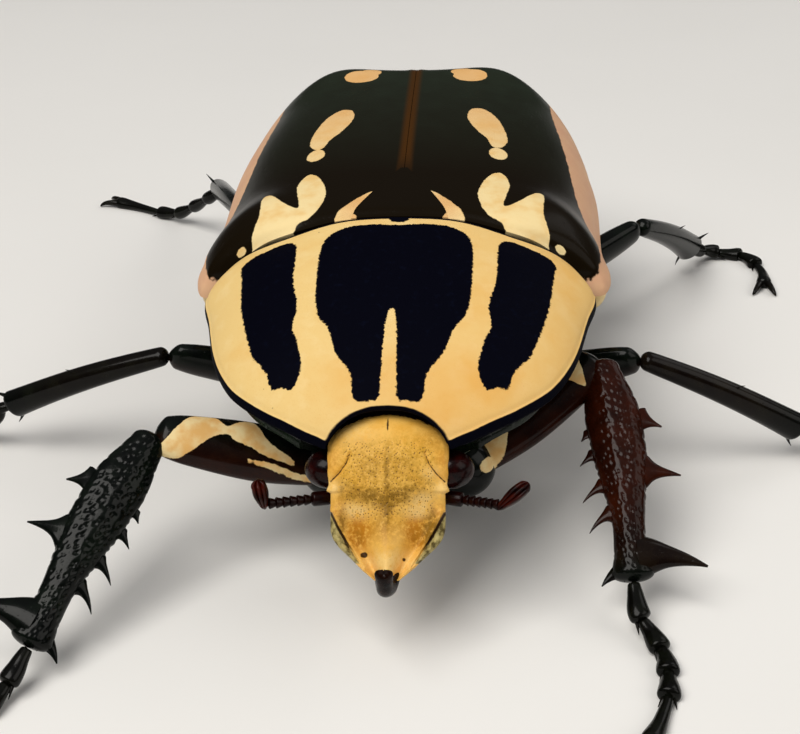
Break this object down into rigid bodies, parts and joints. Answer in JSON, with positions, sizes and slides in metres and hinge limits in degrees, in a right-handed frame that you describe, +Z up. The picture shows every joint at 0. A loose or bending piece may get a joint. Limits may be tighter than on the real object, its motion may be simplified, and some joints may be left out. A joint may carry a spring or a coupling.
{
  "type": "beetle model",
  "caption": "Life-size flower beetle, male, standing with legs spread: horned head, shield-shaped pronotum, closed wing cases, toothed legs.",
  "frame": {"origin": "on the floor under the middle of the whole beetle, legs included", "axes": "+Z up, -Y towards the head, +X towards the left side of the animal"},
  "size_m": [0.0812, 0.0876, 0.0205],
  "materials": {
    "black_limb": "glossy black limb shell",
    "black_shell": "satin black shell with a faint green sheen",
    "brown_horn": "glossy dark brown horn",
    "cream_shell": "velvety to satin cream-yellow shell",
    "eye_brown": "glossy dark red-brown compound eye",
    "underside": "glossy green-black underside shell"
  },
  "bodies": {
    "root": {"abdomen": "underside", "antenna_left": "brown_horn", "antenna_right": "brown_horn", "elytron_left": "black_shell", "elytron_right": "black_shell", "eye_left": "eye_brown", "eye_right": "eye_brown", "front_left_coxa": "black_limb", "front_left_femur": "black_limb", "front_left_tarsus": "black_limb", "front_left_tibia": "black_limb", "front_right_coxa": "black_limb", "front_right_femur": "black_limb", "front_right_tarsus": "black_limb", "front_right_tibia": "black_limb", "head": "cream_shell", "hind_left_coxa": "black_limb", "hind_left_femur": "black_limb", "hind_left_tarsus": "black_limb", "hind_left_tibia": "black_limb", "hind_right_coxa": "black_limb", "hind_right_femur": "black_limb", "hind_right_tarsus": "black_limb", "hind_right_tibia": "black_limb", "horn": "brown_horn", "middle_left_coxa": "black_limb", "middle_left_femur": "black_limb", "middle_left_tarsus": "black_limb", "middle_left_tibia": "black_limb", "middle_right_coxa": "black_limb", "middle_right_femur": "black_limb", "middle_right_tarsus": "black_limb", "middle_right_tibia": "black_limb", "mouthparts": "brown_horn", "pronotum": "cream_shell", "prosternum": "underside", "pygidium": "cream_shell", "scutellum": "black_shell", "thorax": "underside"}
  },
  "joints": []
}
